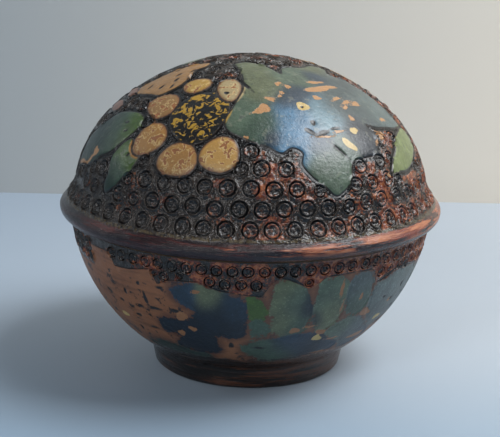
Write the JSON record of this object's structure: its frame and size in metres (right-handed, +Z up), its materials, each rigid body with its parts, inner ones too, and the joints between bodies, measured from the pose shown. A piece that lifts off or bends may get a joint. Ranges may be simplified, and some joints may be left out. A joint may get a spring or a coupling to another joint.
{
  "type": "trinket box",
  "caption": "Round turned wooden trinket box on a low foot, with a domed lid that lifts straight off its spigot, ring-stamped and painted with a flower and leaves, for small keepsakes.",
  "frame": {"origin": "centre of the foot's resting face, on the turning axis", "axes": "+Z up along the turning axis; -Y towards the side that shows in the picture, +X to its right"},
  "size_m": [0.11, 0.11, 0.0898],
  "materials": {
    "bowl_wood": "burnt, painted and varnished",
    "lid_wood": "burnt, painted and varnished"
  },
  "bodies": {
    "bowl": {"bowl": "bowl_wood"},
    "lid": {"lid": "lid_wood"}
  },
  "joints": [
    {"name": "lid_lift", "type": "slide", "parent": "bowl", "child": "lid", "axis": [0, 0, 1], "range_m": [0, 0.06]}
  ]
}
